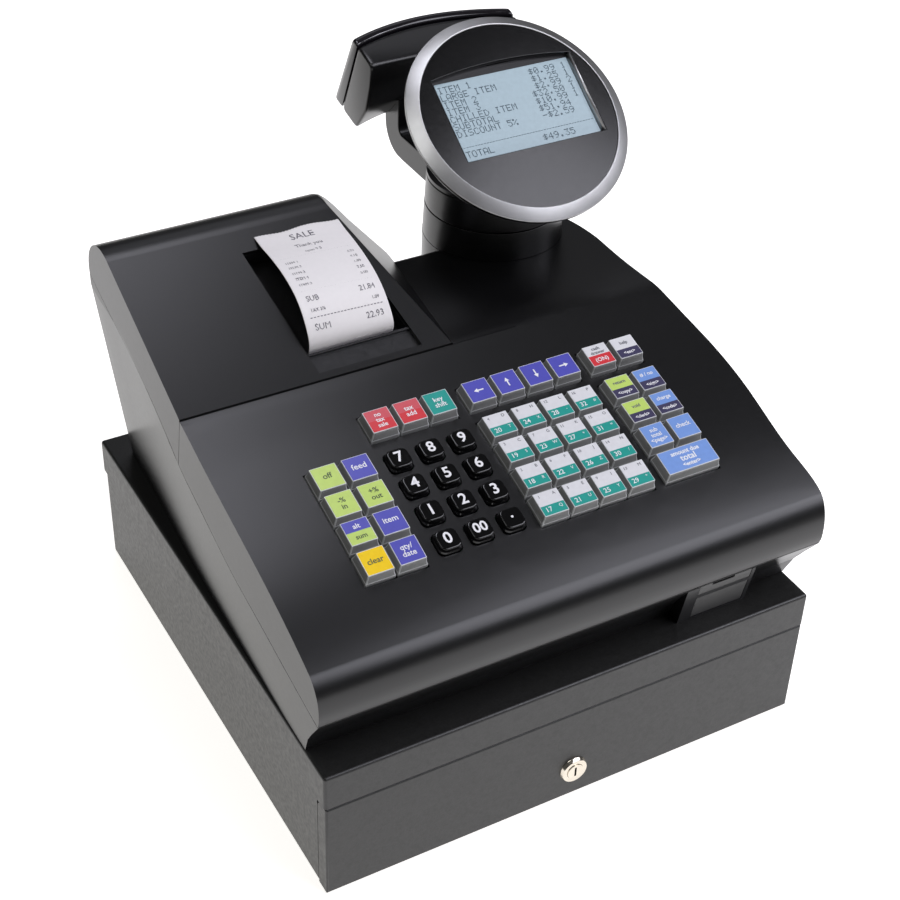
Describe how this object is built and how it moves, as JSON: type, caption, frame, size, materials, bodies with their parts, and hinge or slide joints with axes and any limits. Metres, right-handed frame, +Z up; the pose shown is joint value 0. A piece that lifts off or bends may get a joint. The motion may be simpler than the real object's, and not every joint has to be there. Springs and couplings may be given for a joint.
{
  "type": "cash register",
  "caption": "Electronic cash register with a cash drawer, sloping keyboard, receipt printer and a swivelling operator and customer display.",
  "frame": {"origin": "centre of the bounding box in plan, on the table under the rubber feet", "axes": "+X to the clerk's right, +Y from the clerk towards the customer, +Z up"},
  "size_m": [0.3572, 0.4474, 0.353],
  "materials": {
    "case_black": "satin moulded",
    "circuit_board": "lacquered",
    "core_steel": "varnished",
    "face_black": "polished",
    "foot_rubber": "matt",
    "key_black": "polished",
    "key_clear": "clear cap over a printed card",
    "lcd_glass": "polished",
    "nickel": "polished nickel",
    "nylon_black": "moulded",
    "nylon_white": "moulded",
    "platen_rubber": "ground",
    "powder_coat": "fine textured powder coat",
    "silver_ring": "satin silver",
    "smoke_lens": "polished",
    "thermal_paper": "smooth paper",
    "till_grey": "moulded",
    "tray_paint": "satin",
    "zinc_steel": "zinc plated"
  },
  "bodies": {
    "base": {"cabinet_body": "powder_coat", "cabinet_cover": "powder_coat", "rubber_feet": "foot_rubber", "drawer_rails": "zinc_steel", "latch_solenoid": "zinc_steel", "ejector_spring": "zinc_steel", "lower_case": "case_black", "upper_case": "case_black", "printer_frame": "nylon_black", "feed_motor": "zinc_steel", "key_board": "circuit_board", "main_board": "circuit_board", "transformer": "core_steel", "power_inlet": "nylon_black", "case_screws": "zinc_steel", "display_column": "case_black"},
    "drawer": {"drawer_tray": "tray_paint", "drawer_front": "powder_coat", "cash_till": "till_grey", "clip_rod": "zinc_steel", "lock_body": "nickel"},
    "lock_plug": {"lock_plug": "nickel"},
    "bill_clips": {"bill_clips": "nylon_black"},
    "cabinet_rollers": {"cabinet_rollers": "nylon_white"},
    "drawer_rollers": {"drawer_rollers": "nylon_white"},
    "latch_hook": {"latch_hook": "zinc_steel"},
    "printer_cover": {"printer_cover": "case_black", "tear_bar": "nylon_black", "receipt_strip": "thermal_paper"},
    "platen": {"platen_roller": "platen_rubber", "platen_gear": "nylon_white"},
    "motor_pinion": {"motor_pinion": "nylon_white"},
    "paper_roll": {"paper_roll": "thermal_paper"},
    "compartment_door": {"compartment_door": "case_black"},
    "customer_display": {"customer_arm": "case_black", "customer_body": "case_black", "customer_window": "smoke_lens"},
    "display_neck": {"swivel_neck": "case_black", "tilt_pin": "zinc_steel"},
    "display_head": {"head_shell": "case_black", "bezel_ring": "silver_ring", "face_panel": "face_black", "lcd_module": "lcd_glass"},
    "key_0": {"key_0": "key_black"},
    "key_00": {"key_00": "key_black"},
    "key_point": {"key_point": "key_black"},
    "key_1": {"key_1": "key_black"},
    "key_2": {"key_2": "key_black"},
    "key_3": {"key_3": "key_black"},
    "key_4": {"key_4": "key_black"},
    "key_5": {"key_5": "key_black"},
    "key_6": {"key_6": "key_black"},
    "key_7": {"key_7": "key_black"},
    "key_8": {"key_8": "key_black"},
    "key_9": {"key_9": "key_black"},
    "left_function_keys": {"left_function_keys": "key_clear"},
    "department_keys": {"department_keys": "key_clear"},
    "tender_keys": {"tender_keys": "key_clear"},
    "top_row_keys": {"top_row_keys": "key_clear"},
    "total_key": {"total_key": "key_clear"}
  },
  "joints": [
    {"name": "drawer_slide", "type": "slide", "parent": "base", "child": "drawer", "axis": [0, -1, 0], "range_m": [0, 0.25]},
    {"name": "cabinet_roller_spin", "type": "hinge", "parent": "base", "child": "cabinet_rollers", "pos_m": [-0.0106, -0.19875, 0.03], "axis": [1, 0, 0], "continuous": true},
    {"name": "drawer_roller_spin", "type": "hinge", "parent": "drawer", "child": "drawer_rollers", "pos_m": [-0.0106, 0.08525, 0.046], "axis": [1, 0, 0], "continuous": true},
    {"name": "bill_clip_lift", "type": "hinge", "parent": "drawer", "child": "bill_clips", "pos_m": [-0.0106, 0.08325, 0.05], "axis": [-1, 0, 0], "range_deg": [0, 30], "stiffness_Nm_per_rad": 0.1, "springref_deg": -34.38},
    {"name": "lock_turn", "type": "hinge", "parent": "drawer", "child": "lock_plug", "pos_m": [-0.0106, -0.22075, 0.023], "axis": [0, 1, 0], "range_deg": [0, 90]},
    {"name": "latch_swing", "type": "hinge", "parent": "base", "child": "latch_hook", "pos_m": [-0.0106, 0.11925, 0.056], "axis": [1, 0, 0], "range_deg": [0, 8.5]},
    {"name": "printer_cover_lift", "type": "slide", "parent": "base", "child": "printer_cover", "axis": [0, 0, 1], "range_m": [0, 0.045]},
    {"name": "platen_spin", "type": "hinge", "parent": "base", "child": "platen", "pos_m": [-0.0106, -0.00675, 0.195], "axis": [1, 0, 0], "continuous": true},
    {"name": "motor_spin", "type": "hinge", "parent": "base", "child": "motor_pinion", "pos_m": [-0.0106, 0.00598, 0.18227], "axis": [1, 0, 0], "continuous": true},
    {"name": "roll_spin", "type": "hinge", "parent": "base", "child": "paper_roll", "pos_m": [-0.0106, 0.04125, 0.202], "axis": [1, 0, 0], "continuous": true},
    {"name": "compartment_door_hinge", "type": "hinge", "parent": "base", "child": "compartment_door", "pos_m": [0.0969, -0.20375, 0.1004], "axis": [1, 0, 0], "range_deg": [0, 75]},
    {"name": "customer_display_turn", "type": "hinge", "parent": "base", "child": "customer_display", "pos_m": [0.1018, 0.08825, 0.24], "axis": [0, 0, 1], "range_deg": [-35, 35]},
    {"name": "display_turn", "type": "hinge", "parent": "base", "child": "display_neck", "pos_m": [0.1018, 0.08825, 0.26], "axis": [0, 0, 1], "range_deg": [-45, 45]},
    {"name": "display_tilt", "type": "hinge", "parent": "display_neck", "child": "display_head", "pos_m": [0.1018, 0.08825, 0.284], "axis": [1, 0, 0], "range_deg": [-15, 5]},
    {"name": "key_0_press", "type": "slide", "parent": "base", "child": "key_0", "axis": [0, 0.314, -0.9494], "range_m": [0, 0.003], "stiffness_N_per_m": 150, "springref_m": -0.003},
    {"name": "key_00_press", "type": "slide", "parent": "base", "child": "key_00", "axis": [0, 0.314, -0.9494], "range_m": [0, 0.003], "stiffness_N_per_m": 150, "springref_m": -0.003},
    {"name": "key_point_press", "type": "slide", "parent": "base", "child": "key_point", "axis": [0, 0.314, -0.9494], "range_m": [0, 0.003], "stiffness_N_per_m": 150, "springref_m": -0.003},
    {"name": "key_1_press", "type": "slide", "parent": "base", "child": "key_1", "axis": [0, 0.2826, -0.9592], "range_m": [0, 0.003], "stiffness_N_per_m": 150, "springref_m": -0.003},
    {"name": "key_2_press", "type": "slide", "parent": "base", "child": "key_2", "axis": [0, 0.2826, -0.9592], "range_m": [0, 0.003], "stiffness_N_per_m": 150, "springref_m": -0.003},
    {"name": "key_3_press", "type": "slide", "parent": "base", "child": "key_3", "axis": [0, 0.2826, -0.9592], "range_m": [0, 0.003], "stiffness_N_per_m": 150, "springref_m": -0.003},
    {"name": "key_4_press", "type": "slide", "parent": "base", "child": "key_4", "axis": [0, 0.2643, -0.9644], "range_m": [0, 0.003], "stiffness_N_per_m": 150, "springref_m": -0.003},
    {"name": "key_5_press", "type": "slide", "parent": "base", "child": "key_5", "axis": [0, 0.2643, -0.9644], "range_m": [0, 0.003], "stiffness_N_per_m": 150, "springref_m": -0.003},
    {"name": "key_6_press", "type": "slide", "parent": "base", "child": "key_6", "axis": [0, 0.2643, -0.9644], "range_m": [0, 0.003], "stiffness_N_per_m": 150, "springref_m": -0.003},
    {"name": "key_7_press", "type": "slide", "parent": "base", "child": "key_7", "axis": [0, 0.2592, -0.9658], "range_m": [0, 0.003], "stiffness_N_per_m": 150, "springref_m": -0.003},
    {"name": "key_8_press", "type": "slide", "parent": "base", "child": "key_8", "axis": [0, 0.2592, -0.9658], "range_m": [0, 0.003], "stiffness_N_per_m": 150, "springref_m": -0.003},
    {"name": "key_9_press", "type": "slide", "parent": "base", "child": "key_9", "axis": [0, 0.2592, -0.9658], "range_m": [0, 0.003], "stiffness_N_per_m": 150, "springref_m": -0.003},
    {"name": "left_function_keys_press", "type": "slide", "parent": "base", "child": "left_function_keys", "axis": [0, 0.2763, -0.9611], "range_m": [0, 0.003], "stiffness_N_per_m": 1200, "springref_m": -0.003},
    {"name": "department_keys_press", "type": "slide", "parent": "base", "child": "department_keys", "axis": [0, 0.2763, -0.9611], "range_m": [0, 0.003], "stiffness_N_per_m": 2400, "springref_m": -0.003},
    {"name": "tender_keys_press", "type": "slide", "parent": "base", "child": "tender_keys", "axis": [0, 0.2607, -0.9654], "range_m": [0, 0.003], "stiffness_N_per_m": 1200, "springref_m": -0.003},
    {"name": "top_row_keys_press", "type": "slide", "parent": "base", "child": "top_row_keys", "axis": [0, 0.2741, -0.9617], "range_m": [0, 0.003], "stiffness_N_per_m": 1050, "springref_m": -0.003},
    {"name": "total_key_press", "type": "slide", "parent": "base", "child": "total_key", "axis": [0, 0.314, -0.9494], "range_m": [0, 0.003], "stiffness_N_per_m": 150, "springref_m": -0.003}
  ],
  "couplings": [
    {"joint": "cabinet_roller_spin", "follows": "drawer_slide", "rad_per_m": 166.67},
    {"joint": "drawer_roller_spin", "follows": "drawer_slide", "rad_per_m": 166.67},
    {"joint": "motor_spin", "follows": "platen_spin", "ratio": -2},
    {"joint": "roll_spin", "follows": "platen_spin", "ratio": -0.25}
  ]
}
